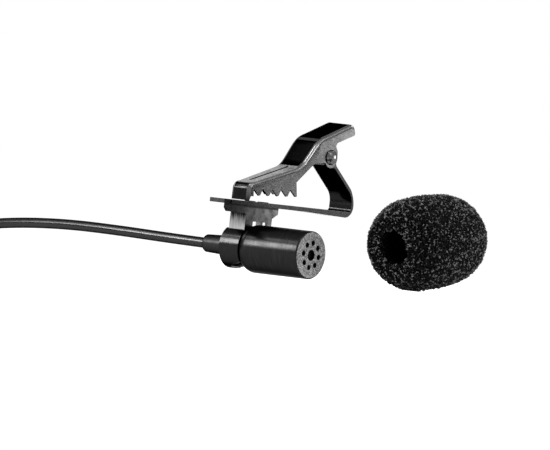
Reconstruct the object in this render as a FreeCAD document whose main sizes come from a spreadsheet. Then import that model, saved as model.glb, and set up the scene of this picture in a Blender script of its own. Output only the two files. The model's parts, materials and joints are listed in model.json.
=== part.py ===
# Lavalier microphone: barrel with capsule, turning clip holder, sprung jaw,
# loose foam windscreen, and a cord that ends in a four-pole jack plug.
#
# Frame: X along the microphone's axis, pointing out of the grille; Y along the
# clip; Z up.  The origin is on the axis where the barrel's round wall ends in
# front.  The barrel's lowest line and the windscreen stand on one surface.
import FreeCAD, Part
import Sketcher
import math
import os
import re

Vector = FreeCAD.Vector
doc = FreeCAD.newDocument("lavalier_microphone")

# ---------------------------------------------------------------- dimensions
DIMENSIONS = [
    # barrel
    ("barrel_radius", 4.15, "outside of the barrel"),
    ("barrel_length", 11.3, "straight outside wall"),
    ("barrel_wall", 0.5, "wall of the tube"),
    ("tail_length", 1.5, "rounded rear end of the barrel"),
    ("tail_drop", 0.59, "how far the rounded end falls from the wall"),
    ("rear_wall", 0.8, "wall that closes the barrel behind"),
    ("rim_depth", 0.25, "rounded front rim"),
    ("rim_drop", 0.17, "how far the front rim falls from the wall"),
    ("spigot_radius", 2.4, "threaded spigot through the rear wall"),
    # grille
    ("grille_radius", 3.95, "grille disc"),
    ("grille_thick", 0.85, "grille disc"),
    ("grille_hole", 0.48, "radius of a small hole"),
    ("grille_centre_hole", 0.95, "radius of the middle hole"),
    ("grille_circle", 2.125, "radius of the hole circle"),
    ("grille_turn", 6.0, "first hole's angle from the top, in degrees"),
    # behind the grille
    ("screen_thick", 0.15, "dust screen"),
    ("felt_thick", 0.6, "felt disc"),
    ("seat_gap", 0.03, "play of the discs in the tube"),
    ("capsule_radius", 3.0, "electret capsule"),
    ("capsule_length", 2.7, "electret capsule"),
    ("can_wall", 0.2, "wall of the capsule's can"),
    ("capsule_port", 1.0, "radius of the sound port in the can"),
    ("diaphragm_thick", 0.35, "diaphragm ring"),
    ("diaphragm_rim", 0.5, "width of the diaphragm ring"),
    ("backplate_thick", 0.3, "backplate"),
    ("board_thick", 0.4, "capsule's circuit board"),
    ("chip_side", 1.2, "transistor's side"),
    ("boot_back", 0.7, "rubber lip behind the capsule"),
    ("solder_radius", 0.5, "solder joint"),
    ("solder_place", 1.1, "solder joint, from the axis"),
    ("wire_radius", 0.24, "inner wire with its insulation"),
    # neck, relief and cord
    ("neck_radius", 3.28, "neck that the clip's ring grips"),
    ("neck_length", 4.2, "neck"),
    ("shoulder_length", 0.5, "rounded end of the neck"),
    ("shoulder_radius", 2.5, "rear face of the neck"),
    ("nut_radius", 3.3, "lock nut inside the barrel"),
    ("nut_thick", 0.7, "lock nut"),
    ("ferrule_radius", 1.55, "crimp ferrule on the cord"),
    ("ferrule_length", 2.0, "crimp ferrule"),
    ("pocket_play", 0.05, "room round the ferrule"),
    ("relief_radius", 1.75, "strain relief at the neck"),
    ("relief_end_radius", 1.55, "strain relief at its end"),
    ("relief_length", 5.2, "strain relief outside the neck"),
    ("relief_root", 2.0, "strain relief held inside the neck"),
    ("cord_radius", 0.91, "cord"),
    ("cord_play", 0.02, "room round the cord in its relief"),
    ("ground_gap", 4.15, "surface under the part, below the axis"),
    # clip plate and arm
    ("clip_middle", -15.2, "middle plane of the clip, along X"),
    ("band_width", 4.9, "spring band"),
    ("band_thick", 0.75, "spring band"),
    ("arm_thick", 0.6, "spring band along the arm"),
    ("bend_swell", 0.28, "how far the bend hangs below the plate"),
    ("swell_start", 14.0, "where the plate starts to thicken, along Y"),
    ("bend_corner", 0.5, "inside corner of the bend"),
    ("plate_top", 8.0, "upper face of the clip plate"),
    ("plate_tip", -6.9, "front end of the clip plate"),
    ("bend_end", 27.0, "outermost line of the bend, along Y"),
    ("bend_radius", 2.1, "outside of the bend"),
    ("sweep_in", 1.3, "arm's curved foot, along Y"),
    ("sweep_rise", 2.65, "arm's curved foot, along Z"),
    ("arm_offset", 0.32, "arm's outer face, from the rivet's middle"),
    ("arm_reach", 1.91, "arm's end, from the rivet's middle along the arm"),
    # pivot
    ("pivot_along", 18.7, "rivet, along Y"),
    ("pivot_height", 17.06, "rivet, along Z"),
    ("rivet_radius", 0.7, "rivet shaft"),
    ("rivet_head", 1.35, "rivet head"),
    ("rivet_dome", 0.7, "height of a rivet head"),
    ("rivet_play", 0.05, "running clearance of the jaw on the rivet"),
    ("lug_radius", 1.3, "arm's lugs round the rivet"),
    ("lug_thick", 0.45, "arm's lugs"),
    ("lug_overlap", 0.8, "how far the lugs run down the arm's sides"),
    ("side_play", 0.05, "room between lugs and jaw, and under the heads"),
    ("spring_radius", 1.2, "torsion spring, middle of the wire"),
    ("spring_wire", 0.25, "radius of the spring wire"),
    ("spring_turns", 5.0, "turns of the torsion spring, rounded up"),
    ("spring_pitch", 0.56, "torsion spring"),
    ("lever_leg", 5.8, "spring leg under the lever"),
    ("lever_leg_angle", 65.0, "leg under the lever from the horizontal, in degrees"),
    ("arm_leg", 3.9, "spring leg on the arm"),
    ("arm_leg_lean", 8.6, "leg on the arm from the arm's slope, in degrees"),
    # jaw
    ("jaw_sheet", 0.35, "sheet of the jaw"),
    ("jaw_nose", -1.9, "front face of the jaw, along Y"),
    ("jaw_nose_width", 4.0, "width of the nose"),
    ("jaw_nose_gap", 0.12, "nose above the plate"),
    ("jaw_nose_rise", 1.87, "height of the nose's straight face"),
    ("jaw_nose_round", 1.4, "rounding over the nose"),
    ("jaw_top_run", 11.05, "ridged top, along Y"),
    ("jaw_top_rise", 3.26, "ridged top, along Z"),
    ("jaw_groove_width", 0.5, "groove between the ridges"),
    ("jaw_groove_depth", 0.22, "groove between the ridges"),
    ("jaw_round", 0.7, "rounding of the long upper edges and the nose"),
    ("tooth_first", 0.9, "first raked tooth's tip, along Y"),
    ("tooth_pitch", 2.4, "tooth to tooth"),
    ("tooth_depth", 1.15, "root to tip"),
    ("tooth_drop", 9.1, "first tooth's tip, along Z"),
    ("tooth_climb", 0.12, "how far each tooth stands above the last"),
    ("tooth_back", 0.75, "back of a tooth, along Y"),
    ("ear_radius", 1.75, "jaw's ears round the rivet"),
    ("lever_end", 24.9, "end of the thumb lever, along Y"),
    ("lever_rise", 5.94, "highest line of the lever, above the rivet"),
    ("lever_side", 1.75, "depth of the lever's sides"),
    # holder
    ("ring_play", 0.06, "running clearance of the ring on the neck"),
    ("ring_sheet", 0.42, "sheet of the holder"),
    ("ring_near", -12.9, "front edge of the ring, along X"),
    ("ring_width", 4.1, "ring"),
    ("strap_width", 3.4, "front strap and shelf"),
    ("rear_strap_width", 1.2, "rear strap"),
    ("relief_depth", 2.7, "cutaway at the foot of the ring, along X"),
    ("relief_rise", 1.2, "height of the cutaway"),
    ("strap_place", 2.45, "outside of the straps, from the axis"),
    ("web_arm_front", -8.3, "hook's outer face, along Y"),
    ("web_arm_back", 6.4, "rear lug, along Y"),
    ("web_arm_low", 5.9, "underside of the arms"),
    ("web_stem_back", 4.9, "rear edge of the stem"),
    ("web_leg_low", 2.9, "foot of the rear leg"),
    ("notch_front", -0.3, "notch in the web, along Y"),
    ("notch_back", 3.6, "notch in the web, along Y"),
    ("notch_top", 4.6, "notch in the web, along Z"),
    ("hook_play", 0.05, "hook to the plate's end"),
    ("stake_radius", 0.6, "stakes through the plate"),
    ("stake_head", 0.12, "stake heads above the plate"),
    ("stake_first", 1.2, "first stake, along Y"),
    ("stake_pitch", 3.6, "stake to stake"),
    # windscreen
    ("foam_radius", 7.89, "windscreen"),
    ("foam_straight", 8.04, "windscreen between its two round ends"),
    ("foam_mouth", 5.2, "flat mouth, in front of the front round end's middle"),
    ("foam_bore", 3.1, "relaxed bore"),
    ("foam_depth", 13.4, "depth of the bore"),
    ("foam_lip", 0.8, "rounding of the mouth's outer edge"),
    ("foam_tilt", 9.25, "windscreen lies mouth down, in degrees"),
    ("foam_x", 11.9, "windscreen's middle"),
    ("foam_y", 16.93, "windscreen's middle"),
    # coil of the put-away cord
    ("coil_x", -99.0, "coil's middle"),
    ("coil_columns", 5.0, "turns side by side"),
    ("coil_rows", 4.0, "turns on each other"),
    ("coil_mean", 10.8, "radius at the middle of the turns"),
    ("coil_step", 1.85, "turn to turn, outwards"),
    ("coil_layer", 1.75, "turn to turn, upwards"),
    ("tie_width", 5.0, "tie"),
    ("tie_thick", 0.3, "tie"),
    # plug
    ("plug_x", -83.0, "rear end of the plug's relief"),
    ("plug_y", -28.2, "plug's axis"),
    ("plug_relief_length", 7.0, "plug relief"),
    ("plug_body_length", 14.0, "plug body"),
    ("plug_body_radius", 3.0, "plug body"),
    ("plug_radius", 1.75, "contacts"),
    ("plug_core", 0.5, "core of the tip contact"),
    ("plug_shell", 0.95, "inside of the outer contacts"),
    ("plug_sleeve_length", 4.4, "sleeve contact"),
    ("plug_ring_length", 1.7, "ring contact"),
    ("plug_gap", 0.6, "insulating band"),
    ("plug_tip_length", 3.5, "tip contact"),
]

sheet = doc.addObject("Spreadsheet::Sheet", "dims")
aliases = set()
for row, (alias, amount, meaning) in enumerate(DIMENSIONS, 1):
    sheet.set(f"A{row}", alias)
    sheet.set(f"B{row}", str(amount))
    sheet.set(f"C{row}", meaning)
    sheet.setAlias(f"B{row}", alias)
    aliases.add(alias)
doc.recompute()


def full(expression):
    """Write an expression of aliases the way another object refers to the sheet."""
    def prefix(match):
        word = match.group()
        return "dims." + word if word in aliases else word
    return re.sub(r"[a-z][a-z_0-9]*", prefix, str(expression))


def number(expression):
    return float(sheet.evalExpression(str(expression)))


# ------------------------------------------------- places that pieces share
rear_face = "-(barrel_length + tail_length)"
rear_wall_front = f"({rear_face} + rear_wall)"
tube_bore = "(barrel_radius - barrel_wall)"
grille_back = "(rim_depth + 0.05 - grille_thick)"
screen_back = f"({grille_back} - screen_thick)"
felt_back = f"({screen_back} - felt_thick)"
can_back = f"({felt_back} - capsule_length)"
can_bore = "(capsule_radius - can_wall)"
diaphragm_back = f"({felt_back} - can_wall - diaphragm_thick)"
backplate_back = f"({diaphragm_back} - backplate_thick)"
board_front = f"({can_back} + board_thick)"
boot_end = f"({can_back} - boot_back)"
solder_end = f"({can_back} - 0.35)"
nut_front = f"({rear_wall_front} + nut_thick)"
spigot_front = f"({nut_front} + 0.2)"
neck_end = f"({rear_face} - neck_length)"
shoulder_end = f"({neck_end} - shoulder_length)"
ferrule_front = f"({rear_wall_front} - 0.1)"
ferrule_back = f"({ferrule_front} - ferrule_length)"
relief_front = f"({shoulder_end} + relief_root)"
relief_end = f"({shoulder_end} - relief_length)"
cord_bore = "(cord_radius + cord_play)"
cord_front = f"({spigot_front} + 0.6)"

half_band = "(band_width / 2)"
plate_low = "(plate_top - band_thick)"
bend_top = f"({plate_low} + bend_radius)"
sweep_y = "(bend_end - sweep_in)"
sweep_z = f"({bend_top} + sweep_rise)"
foot_run = f"({sweep_y} - pivot_along)"
foot_rise = f"(pivot_height - {sweep_z})"
foot_square = f"({foot_run} * {foot_run} + {foot_rise} * {foot_rise})"
foot_line = f"sqrt({foot_square} - arm_offset * arm_offset)"
arm_sine = f"(({foot_rise} * {foot_line} + {foot_run} * arm_offset) / {foot_square})"
arm_cosine = f"(({foot_run} * {foot_line} - {foot_rise} * arm_offset) / {foot_square})"


def beside_arm(along, outwards):
    """Place at a distance from the rivet along the arm, and outwards from it."""
    return (f"(pivot_along + ({along}) * {arm_cosine} + ({outwards}) * {arm_sine})",
            f"(pivot_height - ({along}) * {arm_sine} + ({outwards}) * {arm_cosine})")


arm_y, arm_z = beside_arm("arm_reach", "arm_offset")
arm_run = f"({sweep_y} - {arm_y})"
arm_rise = f"({arm_z} - {sweep_z})"
arm_length = f"sqrt({arm_run} * {arm_run} + {arm_rise} * {arm_rise})"
jaw_inside = f"({half_band} + side_play)"
jaw_outside = f"({jaw_inside} + jaw_sheet)"
jaw_low = "(plate_top + jaw_nose_gap)"
top_front_z = f"({jaw_low} + jaw_nose_rise + jaw_nose_round)"
top_back_y = "(jaw_nose + jaw_nose_round + jaw_top_run)"
top_back_z = f"({top_front_z} + jaw_top_rise)"
lever_top = "(pivot_height + lever_rise)"
ring_bore = "(neck_radius + ring_play)"
ring_outside = f"({ring_bore} + ring_sheet)"
ring_far = "(ring_near - ring_width)"
shelf_low = f"({plate_low} - ring_sheet)"
coil_outer_turn = "(coil_mean + (coil_columns - 1) / 2 * coil_step)"
coil_inner_turn = "(coil_mean - (coil_columns - 1) / 2 * coil_step)"
coil_low = "(tie_thick - ground_gap)"
coil_first_z = f"({coil_low} + cord_radius)"
coil_last_z = f"({coil_first_z} + (coil_rows - 1) * coil_layer)"
coil_high = f"({coil_last_z} + cord_radius)"
plug_height = "(plug_body_radius - ground_gap)"


# --------------------------------------------------------------- the builders
def new_body(label):
    body = doc.addObject("PartDesign::Body", label)
    body.Label = label
    return body


def origin_feature(body, role):
    return next(item for item in body.Origin.OriginFeatures if item.Role == role)


def new_sketch(body, role, offset="0"):
    """A sketch on one of the body's planes; offset is along the plane's normal."""
    sketch = body.newObject("Sketcher::SketchObject", body.Name + "_sketch")
    sketch.AttachmentSupport = [(origin_feature(body, role), "")]
    sketch.MapMode = "FlatFace"
    sketch.setExpression(".AttachmentOffset.Base.z", full(offset))
    return sketch


def arc_middle(start, end, direction):
    """Middle of the arc that leaves start along direction and reaches end."""
    chord = end - start
    side = Vector(-direction.y, direction.x, 0)
    radius = chord.dot(chord) / (2 * chord.dot(side))
    centre = start + side * radius
    outward = (start + end) * 0.5 - centre
    outward.normalize()
    turn = 1 if direction.dot(chord) > 0 else -1
    return centre + outward * (abs(radius) * turn), radius > 0


def draw_outline(sketch, stops):
    """Closed outline through stops of (kind, u, v), u and v being expressions.

    line: straight from the stop before; arc: round, tangent to the piece before;
    lead: round, tangent to the straight piece after.
    """
    places = [Vector(number(u), number(v), 0) for _, u, v in stops]
    count = len(stops)
    base = sketch.GeometryCount
    heads = []
    leaving = None
    for i, (kind, _, _) in enumerate(stops):
        start, end = places[i - 1], places[i]
        chord = end - start
        if kind == "line":
            sketch.addGeometry(Part.LineSegment(start, end))
            heads.append((1, 2))
            leaving = chord
            continue
        if kind == "arc":
            along = Vector(leaving).normalize()
            middle, left_turn = arc_middle(start, end, along)
            leaving = chord * (2 * along.dot(chord) / chord.dot(chord)) - along
        else:
            after = places[(i + 1) % count] - end
            back = Vector(after).normalize() * -1
            middle, right_turn = arc_middle(end, start, back)
            left_turn = not right_turn
            leaving = after
        sketch.addGeometry(Part.ArcOfCircle(start, middle, end))
        heads.append((1, 2) if left_turn else (2, 1))
    for i, (kind, u, v) in enumerate(stops):
        before, piece = base + (i - 1) % count, base + i
        head, tail = heads[i]
        smooth = kind == "arc" or stops[i - 1][0] == "lead"
        joint = "Tangent" if smooth else "Coincident"
        sketch.addConstraint(Sketcher.Constraint(joint, before, heads[i - 1][1], piece, head))
        for direction, value in (("DistanceX", u), ("DistanceY", v)):
            made = sketch.addConstraint(Sketcher.Constraint(direction, -1, 1, piece, tail, number(value)))
            sketch.setExpression(f"Constraints[{made}]", full(value))


def draw_circle(sketch, u, v, radius):
    made = sketch.addGeometry(Part.Circle(Vector(number(u), number(v), 0), Vector(0, 0, 1), number(radius)))
    for kind, value in (("DistanceX", u), ("DistanceY", v)):
        held = sketch.addConstraint(Sketcher.Constraint(kind, -1, 1, made, 3, number(value)))
        sketch.setExpression(f"Constraints[{held}]", full(value))
    held = sketch.addConstraint(Sketcher.Constraint("Radius", made, number(radius)))
    sketch.setExpression(f"Constraints[{held}]", full(radius))


def bind(item, **expressions):
    for name, expression in expressions.items():
        item.setExpression(name, full(expression))


def place(item, x="0", y="0", z="0"):
    for axis, expression in zip("xyz", (x, y, z)):
        item.setExpression(f".Placement.Base.{axis}", full(expression))


def refresh(body):
    doc.recompute()
    if body.Shape.isNull() or not body.Shape.isValid():
        raise RuntimeError(f"{body.Name} has no valid shape after {body.Tip.Name}: {body.Tip.getStatusString()}")


def revolve(body, stops, axis="H_Axis", plane="XY_Plane"):
    sketch = new_sketch(body, plane)
    draw_outline(sketch, stops)
    turn = body.newObject("PartDesign::Revolution", body.Name + "_turning")
    turn.Profile = sketch
    turn.ReferenceAxis = (sketch, [axis])
    turn.Angle = 360
    refresh(body)
    return turn


def turned(label, stops):
    """A piece turned about X; its outline is in (x, radius)."""
    body = new_body(label)
    revolve(body, stops)
    return body


def tube(label, front, back, outside, inside="0"):
    return turned(label, [("line", back, inside), ("line", back, outside),
                          ("line", front, outside), ("line", front, inside)])


def pad(body, sketch, length, backwards=False):
    made = body.newObject("PartDesign::Pad", body.Name + "_pad")
    made.Profile = sketch
    made.Reversed = backwards
    bind(made, Length=length)
    refresh(body)
    return made


def pocket(body, sketch, length, backwards=False):
    """Cut along the sketch's normal, or against it with backwards."""
    before = body.Shape.Volume
    made = body.newObject("PartDesign::Pocket", body.Name + "_pocket")
    made.Profile = sketch
    made.Reversed = not backwards
    bind(made, Length=length)
    refresh(body)
    if body.Shape.Volume > before - 1e-6:
        raise RuntimeError(f"{made.Name} cuts nothing")
    return made


def side_pad(body, stops, near, width):
    """Pad an outline in (y, z) from the plane x = near towards -X."""
    sketch = new_sketch(body, "YZ_Plane", near)
    draw_outline(sketch, stops)
    return pad(body, sketch, width, backwards=True)


def side_pocket(body, stops, near, width):
    sketch = new_sketch(body, "YZ_Plane", near)
    draw_outline(sketch, stops)
    return pocket(body, sketch, width, backwards=True)


def solid(label, shape, base=None):
    """A piece whose shape comes from Part's own functions."""
    item = doc.addObject("Part::Feature", label)
    item.Label = label
    item.Shape = shape
    if base:
        place(item, *base)
    return item


def cut(label, base, tools):
    """Base less its tools; the tools are joined first."""
    tool = tools[0]
    if len(tools) > 1:
        tool = doc.addObject("Part::MultiFuse", label + "_tools")
        tool.Shapes = tools
    made = doc.addObject("Part::Cut", label)
    made.Label = label
    made.Base = base
    made.Tool = tool
    doc.recompute()
    return made


def cross_bar(label, radius, near, length, along="pivot_along", height="pivot_height"):
    """A round bar parallel to X, from near towards -X."""
    bar = doc.addObject("Part::Cylinder", label)
    bar.Placement = FreeCAD.Placement(Vector(0, 0, 0), FreeCAD.Rotation(Vector(0, 1, 0), -90))
    bind(bar, Radius=radius, Height=length)
    place(bar, near, along, height)
    return bar


# ------------------------------------------------------------- the microphone
def barrel_tube():
    """Tube with a rounded rear end, a rear wall and a seat for the grille."""
    return turned("barrel_tube", [
        ("line", grille_back, "grille_radius"),
        ("line", "rim_depth", "grille_radius"),
        ("line", "rim_depth", "barrel_radius - rim_drop"),
        ("lead", "0", "barrel_radius"),
        ("line", "-barrel_length", "barrel_radius"),
        ("arc", rear_face, "barrel_radius - tail_drop"),
        ("line", rear_face, "spigot_radius"),
        ("line", rear_wall_front, "spigot_radius"),
        ("line", rear_wall_front, tube_bore),
        ("line", grille_back, tube_bore),
    ])


def front_grille():
    """Disc with a middle hole and eight holes on a circle."""
    body = tube("front_grille", "rim_depth + 0.05", grille_back, "grille_radius", "grille_centre_hole")
    sketch = new_sketch(body, "YZ_Plane", f"{grille_back} - 1")
    draw_circle(sketch, "grille_circle * sin(grille_turn)", "grille_circle * cos(grille_turn)", "grille_hole")
    hole = pocket(body, sketch, "grille_thick + 2")
    ring = body.newObject("PartDesign::PolarPattern", "grille_holes")
    ring.Originals = [hole]
    ring.Axis = (origin_feature(body, "X_Axis"), [""])
    ring.Angle = 360
    ring.Occurrences = 8
    body.Tip = ring
    return body


def capsule_can():
    """Cup that is open behind, with the sound port in front."""
    return turned("capsule_can", [
        ("line", felt_back, "capsule_port"), ("line", felt_back, "capsule_radius"),
        ("line", can_back, "capsule_radius"), ("line", can_back, can_bore),
        ("line", f"{felt_back} - can_wall", can_bore), ("line", f"{felt_back} - can_wall", "capsule_port"),
    ])


def capsule_boot():
    """Rubber sleeve between capsule and tube, with a lip behind the capsule."""
    outside = f"{tube_bore} - seat_gap"
    return turned("capsule_boot", [
        ("line", felt_back, "capsule_radius"), ("line", felt_back, outside),
        ("line", boot_end, outside), ("line", boot_end, "capsule_radius - 0.7"),
        ("line", can_back, "capsule_radius - 0.7"), ("line", can_back, "capsule_radius"),
    ])


def fet_chip():
    """Transistor on the front of the capsule's board."""
    chip = doc.addObject("Part::Box", "fet_chip")
    chip.Label = "fet_chip"
    bind(chip, Length="chip_side / 2", Width="chip_side", Height="chip_side")
    place(chip, board_front, "-chip_side / 2", "-chip_side / 2")
    return chip


def solder_joints():
    """Two flat domes on the back of the board, in one node."""
    radius = number("solder_radius")
    back = number(can_back)
    domes = []
    for side in (-1, 1):
        foot = Vector(back, side * number("solder_place"), 0)
        domes.append(Part.makeCone(radius, radius * 0.4, back - number(solder_end), foot, Vector(-1, 0, 0)))
    return solid("solder_joints", Part.makeCompound(domes))


def inner_wire(label, side):
    """Wire from a solder joint to the cord's end, close to the axis."""
    start = Vector(number(solder_end), side * number("solder_place"), 0)
    end = Vector(number(cord_front), side * number("cord_radius") / 2, 0)
    along = end - start
    return solid(label, Part.makeCylinder(number("wire_radius"), along.Length, start, along))


def rear_neck():
    """Threaded spigot, round neck and rounded shoulder, bored for the cord."""
    return turned("rear_neck", [
        ("line", spigot_front, "ferrule_radius + pocket_play"),
        ("line", spigot_front, "spigot_radius"),
        ("line", rear_face, "spigot_radius"),
        ("line", rear_face, "neck_radius"),
        ("line", neck_end, "neck_radius"),
        ("arc", shoulder_end, "shoulder_radius"),
        ("line", shoulder_end, "relief_radius - 0.25"),
        ("line", relief_front, "relief_radius - 0.25"),
        ("line", relief_front, cord_bore),
        ("line", ferrule_back, cord_bore),
        ("line", ferrule_back, "ferrule_radius + pocket_play"),
    ])


def strain_relief():
    """Soft tapered sleeve with a rounded end, rooted in the neck."""
    return turned("strain_relief", [
        ("line", relief_front, cord_bore),
        ("line", relief_front, "relief_radius - 0.25"),
        ("line", shoulder_end, "relief_radius - 0.25"),
        ("line", shoulder_end, "relief_radius"),
        ("line", f"{relief_end} + 0.4", "relief_end_radius"),
        ("arc", relief_end, "relief_end_radius - 0.3"),
        ("line", relief_end, cord_bore),
    ])


barrel_tube()
front_grille()
tube("dust_screen", grille_back, screen_back, f"{tube_bore} - seat_gap")
tube("felt_disc", screen_back, felt_back, f"{tube_bore} - seat_gap")
capsule_can()
tube("diaphragm_ring", f"{felt_back} - can_wall", diaphragm_back, can_bore, f"{can_bore} - diaphragm_rim")
tube("backplate", diaphragm_back, backplate_back, can_bore)
tube("capsule_board", board_front, can_back, can_bore)
fet_chip()
capsule_boot()
solder_joints()
inner_wire("signal_wire", 1)
inner_wire("ground_wire", -1)
rear_neck()
tube("lock_nut", nut_front, rear_wall_front, "nut_radius", "spigot_radius")
tube("crimp_ferrule", ferrule_front, ferrule_back, "ferrule_radius", "cord_radius")
tube("cord_inside", cord_front, relief_end, "cord_radius")
strain_relief()


# -------------------------------------------------------------------- the clip
def clip_plate():
    """Spring band: flat plate, bend, slanted arm, and two lugs round the rivet."""
    body = new_body("clip_plate")
    near = f"clip_middle + {half_band}"
    across = f"arm_thick * {arm_rise} / {arm_length}"
    down = f"arm_thick * {arm_run} / {arm_length}"
    side_pad(body, [
        ("line", *beside_arm("lug_radius / 2", "lug_radius")),
        ("line", *beside_arm("0", "lug_radius")),
        ("arc", *beside_arm("lug_radius * 0.1", "-lug_radius")),
        ("line", *beside_arm("arm_reach + lug_overlap", "arm_offset - arm_thick")),
        ("line", *beside_arm("arm_reach + lug_overlap", "arm_offset")),
    ], near, "band_width")
    side_pocket(body, [
        ("line", f"{arm_y} + 3", f"{arm_z} - 4"),
        ("line", f"{arm_y} + 3", "pivot_height + 3"),
        ("line", "pivot_along - 3", "pivot_height + 3"),
        ("line", "pivot_along - 3", f"{arm_z} - 4"),
    ], f"{near} - lug_thick", "band_width - 2 * lug_thick")
    side_pad(body, [
        ("line", "plate_tip", "plate_top"),
        ("line", "plate_tip", plate_low),
        ("line", "swell_start", plate_low),
        ("line", "bend_end - bend_radius", f"{plate_low} - bend_swell"),
        ("arc", "bend_end", bend_top),
        ("arc", sweep_y, sweep_z),
        ("line", arm_y, arm_z),
        ("line", f"{arm_y} - {across}", f"{arm_z} - {down}"),
        ("line", f"{sweep_y} - {across}", f"{sweep_z} - {down}"),
        ("arc", "bend_end - arm_thick", f"{bend_top} - 0.1"),
        ("line", "bend_end - arm_thick", "plate_top + bend_corner"),
        ("arc", "bend_end - arm_thick - bend_corner", "plate_top"),
    ], near, "band_width")
    side = new_sketch(body, "YZ_Plane", f"{near} + 1")
    draw_circle(side, "pivot_along", "pivot_height", "rivet_radius")
    pocket(body, side, "band_width + 2", backwards=True)
    plan = new_sketch(body, "XY_Plane", f"{plate_low} - 1")
    for step in range(2):
        draw_circle(plan, "clip_middle", f"stake_first + {step} * stake_pitch", "stake_radius")
    pocket(body, plan, "band_thick + 2")
    return body


def clip_holder():
    """Bent sheet: ring round the neck, two straps, shelf, and the web with its hook."""
    body = new_body("clip_holder")
    strap_in = "(strap_place - ring_sheet)"
    shelf_front = "(-strap_place - 1)"
    side = new_sketch(body, "YZ_Plane", "ring_near")
    draw_circle(side, "0", "0", ring_outside)
    pad(body, side, "ring_width", backwards=True)
    for sign, width in ((-1, "strap_width"), (1, "rear_strap_width")):
        side_pad(body, [
            ("line", f"{sign} * strap_place", "0"),
            ("line", f"{sign} * strap_place", f"{shelf_low} - 0.5"),
            ("line", f"{sign} * (strap_place + 0.5)", shelf_low),
            ("line", f"{sign} * (strap_place + 1)", plate_low),
            ("line", f"{sign} * {strap_in}", plate_low),
            ("line", f"{sign} * {strap_in}", "0"),
        ], "ring_near", width)
    side_pad(body, [
        ("line", "web_arm_front + 0.6", "web_arm_low"),
        ("line", "-strap_place - 0.6", "web_arm_low"),
        ("arc", "-strap_place", "web_arm_low - 0.6"),
        ("line", "-strap_place", "0"),
        ("line", "notch_front", "0"),
        ("line", "notch_front", "notch_top"),
        ("line", "notch_back", "notch_top"),
        ("line", "notch_back", "web_leg_low"),
        ("line", "web_stem_back", "web_leg_low"),
        ("line", "web_stem_back", "web_arm_low - 0.5"),
        ("line", "web_arm_back", "web_arm_low + 0.3"),
        ("line", "web_arm_back", plate_low),
        ("line", "plate_tip - hook_play", plate_low),
        ("line", "plate_tip - hook_play", "plate_top"),
        ("line", "web_arm_front", "plate_top"),
        ("line", "web_arm_front", "web_arm_low + 0.6"),
    ], "ring_near", "ring_sheet")
    side_pad(body, [
        ("line", shelf_front, shelf_low),
        ("line", "web_arm_back", shelf_low),
        ("line", "web_arm_back", plate_low),
        ("line", shelf_front, plate_low),
    ], "ring_near", "strap_width")
    foot = new_sketch(body, "XZ_Plane", f"-{ring_outside} - 1")
    draw_outline(foot, [
        ("line", "ring_near - relief_depth", f"-{ring_outside} - 1"),
        ("line", "ring_near - relief_depth", f"relief_rise * 0.3 - {ring_outside}"),
        ("line", "ring_near - relief_depth * 0.78", f"relief_rise * 0.55 - {ring_outside}"),
        ("line", "ring_near", f"relief_rise - {ring_outside}"),
        ("line", "ring_near + 1", f"relief_rise - {ring_outside}"),
        ("line", "ring_near + 1", f"-{ring_outside} - 1"),
    ])
    pocket(body, foot, f"2 * {ring_outside} + 2")
    bore = new_sketch(body, "YZ_Plane", "ring_near + 1")
    draw_circle(bore, "0", "0", ring_bore)
    pocket(body, bore, "ring_width + 2", backwards=True)
    side_pocket(body, [
        ("line", f"-{strap_in}", "0"),
        ("line", f"{strap_in}", "0"),
        ("line", f"{strap_in}", shelf_low),
        ("line", f"-{strap_in}", shelf_low),
    ], "ring_near - ring_sheet", "ring_width")
    plan = new_sketch(body, "XY_Plane", f"{shelf_low} - 1")
    for step in range(2):
        draw_circle(plan, "clip_middle", f"stake_first + {step} * stake_pitch", "stake_radius")
    pocket(body, plan, "ring_sheet + 1.5")
    return body


def holder_stakes():
    """Two stakes through shelf and plate, with flat heads; one node."""
    foot = number(shelf_low)
    rise = number("plate_top") - foot
    stakes = []
    for step in range(2):
        base = Vector(number("clip_middle"), number(f"stake_first + {step} * stake_pitch"), foot)
        shank = Part.makeCylinder(number("stake_radius"), rise, base)
        head = Part.makeCylinder(number("stake_radius") * 1.6, number("stake_head"), base + Vector(0, 0, rise))
        stakes.append(shank.fuse(head).removeSplitter())
    return solid("holder_stakes", Part.makeCompound(stakes))


def pivot_rivet():
    """Shaft through lugs and ears, with a domed head on each side."""
    under = f"({jaw_outside} + side_play)"
    top = f"({under} + rivet_dome)"
    body = turned("pivot_rivet", [
        ("line", f"-{top}", "0"),
        ("line", f"-{top}", "rivet_head * 0.35"),
        ("line", f"-{under} - rivet_dome * 0.6", "rivet_head * 0.85"),
        ("line", f"-{under}", "rivet_head"),
        ("line", f"-{under}", "rivet_radius"),
        ("line", under, "rivet_radius"),
        ("line", under, "rivet_head"),
        ("line", f"{under} + rivet_dome * 0.6", "rivet_head * 0.85"),
        ("line", top, "rivet_head * 0.35"),
        ("line", top, "0"),
    ])
    place(body, "clip_middle", "pivot_along", "pivot_height")
    return body


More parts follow.
